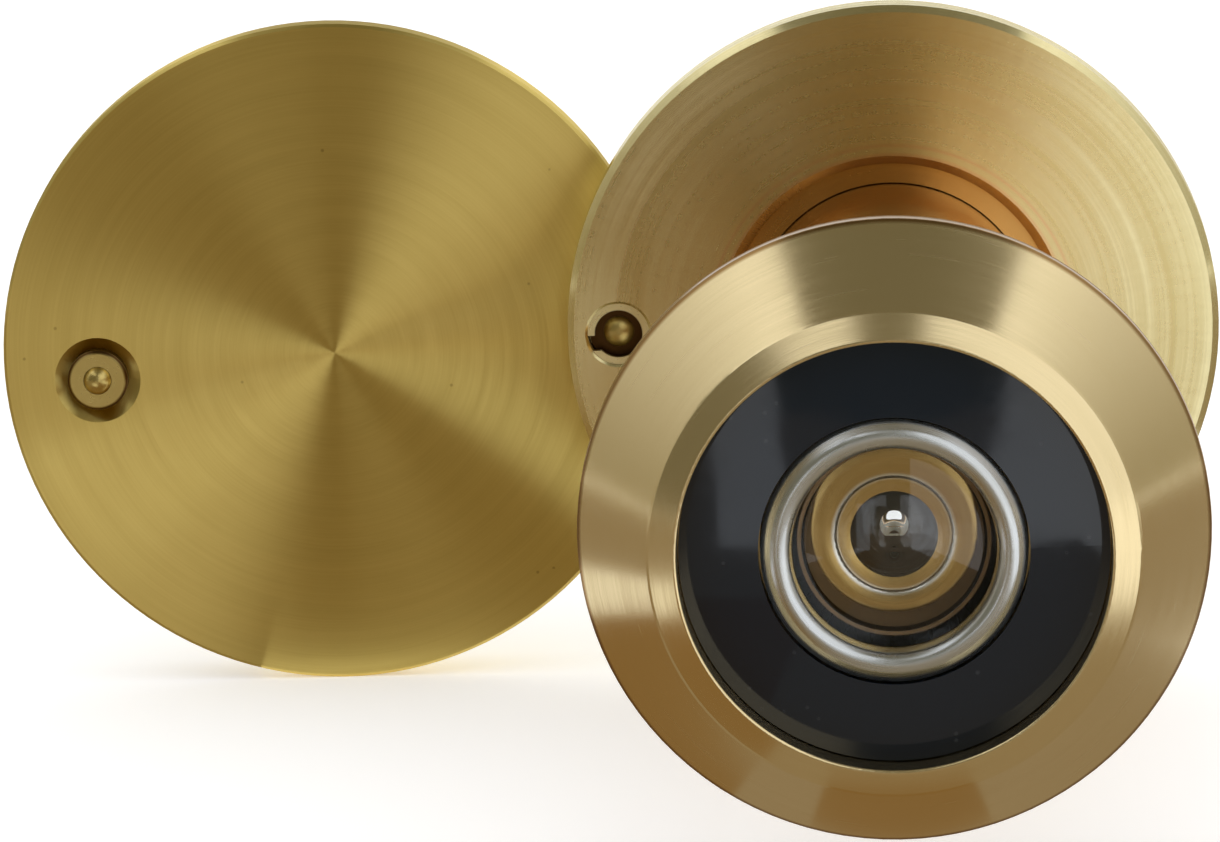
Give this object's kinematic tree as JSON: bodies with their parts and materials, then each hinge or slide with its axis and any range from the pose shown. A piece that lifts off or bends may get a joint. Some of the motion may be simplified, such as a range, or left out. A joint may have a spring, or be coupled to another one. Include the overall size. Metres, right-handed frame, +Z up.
{
  "type": "door peephole",
  "caption": "Turned brass door viewer with bevelled lens flange, screw-together barrel, base plate and swinging privacy cover with a ball catch.",
  "frame": {"origin": "on the viewer axis, at the face of the outer flange that sits on the door's outside", "axes": "+Y along the viewer axis from the outside of the door to the room, +Z up, +X to the right seen from outside"},
  "size_m": [0.0602, 0.0633, 0.0338],
  "materials": {
    "flange_brass": "satin, turned",
    "barrel_brass": "smooth turned, semi-bright",
    "plate_brass": "coarse concentric turning marks",
    "cover_brass": "fine concentric brushing",
    "fitting_brass": "plain turned",
    "black_gloss": "black gloss",
    "nickel": "polished nickel plate",
    "optical_glass": "clear, polished",
    "black_matte": "matt black",
    "spring_steel": "plain spring steel"
  },
  "bodies": {
    "outer_half": {"outer_barrel": "flange_brass", "black_trim_ring": "black_gloss", "lens_bezel": "nickel", "objective_lens": "optical_glass", "front_spacer": "fitting_brass", "second_lens": "optical_glass", "third_lens": "optical_glass", "aperture_stop": "black_matte", "lens_retainer": "fitting_brass"},
    "base": {"base_plate": "plate_brass", "pivot_snap_ring": "fitting_brass"},
    "inner_half": {"inner_barrel": "barrel_brass", "eyepiece_lens": "optical_glass", "eyepiece_retainer": "fitting_brass"},
    "cover": {"privacy_cover": "cover_brass", "pivot_pin": "fitting_brass", "pivot_spring_washer": "spring_steel", "plunger_body": "fitting_brass", "plunger_spring": "spring_steel"},
    "ball": {"detent_ball": "fitting_brass"}
  },
  "joints": [
    {"name": "plate_slide", "type": "slide", "parent": "outer_half", "child": "base", "axis": [0, 1, 0], "range_m": [-0.013, 0.009]},
    {"name": "barrel_screw", "type": "hinge", "parent": "base", "child": "inner_half", "pos_m": [0, 0, 0], "axis": [0, 1, 0], "range_deg": [-4680, 3240]},
    {"name": "cover_swing", "type": "hinge", "parent": "base", "child": "cover", "pos_m": [-0.0135, 0, 0], "axis": [0, 1, 0], "range_deg": [-174.7, 185.3]},
    {"name": "ball_press", "type": "slide", "parent": "cover", "child": "ball", "axis": [0, 1, 0], "range_m": [0, 0.00045], "stiffness_N_per_m": 2000, "springref_m": -0.0005, "deforming": ["plunger_spring"]}
  ],
  "couplings": [
    {"joint": "barrel_screw", "follows": "plate_slide", "rad_per_m": 6283.2}
  ]
}
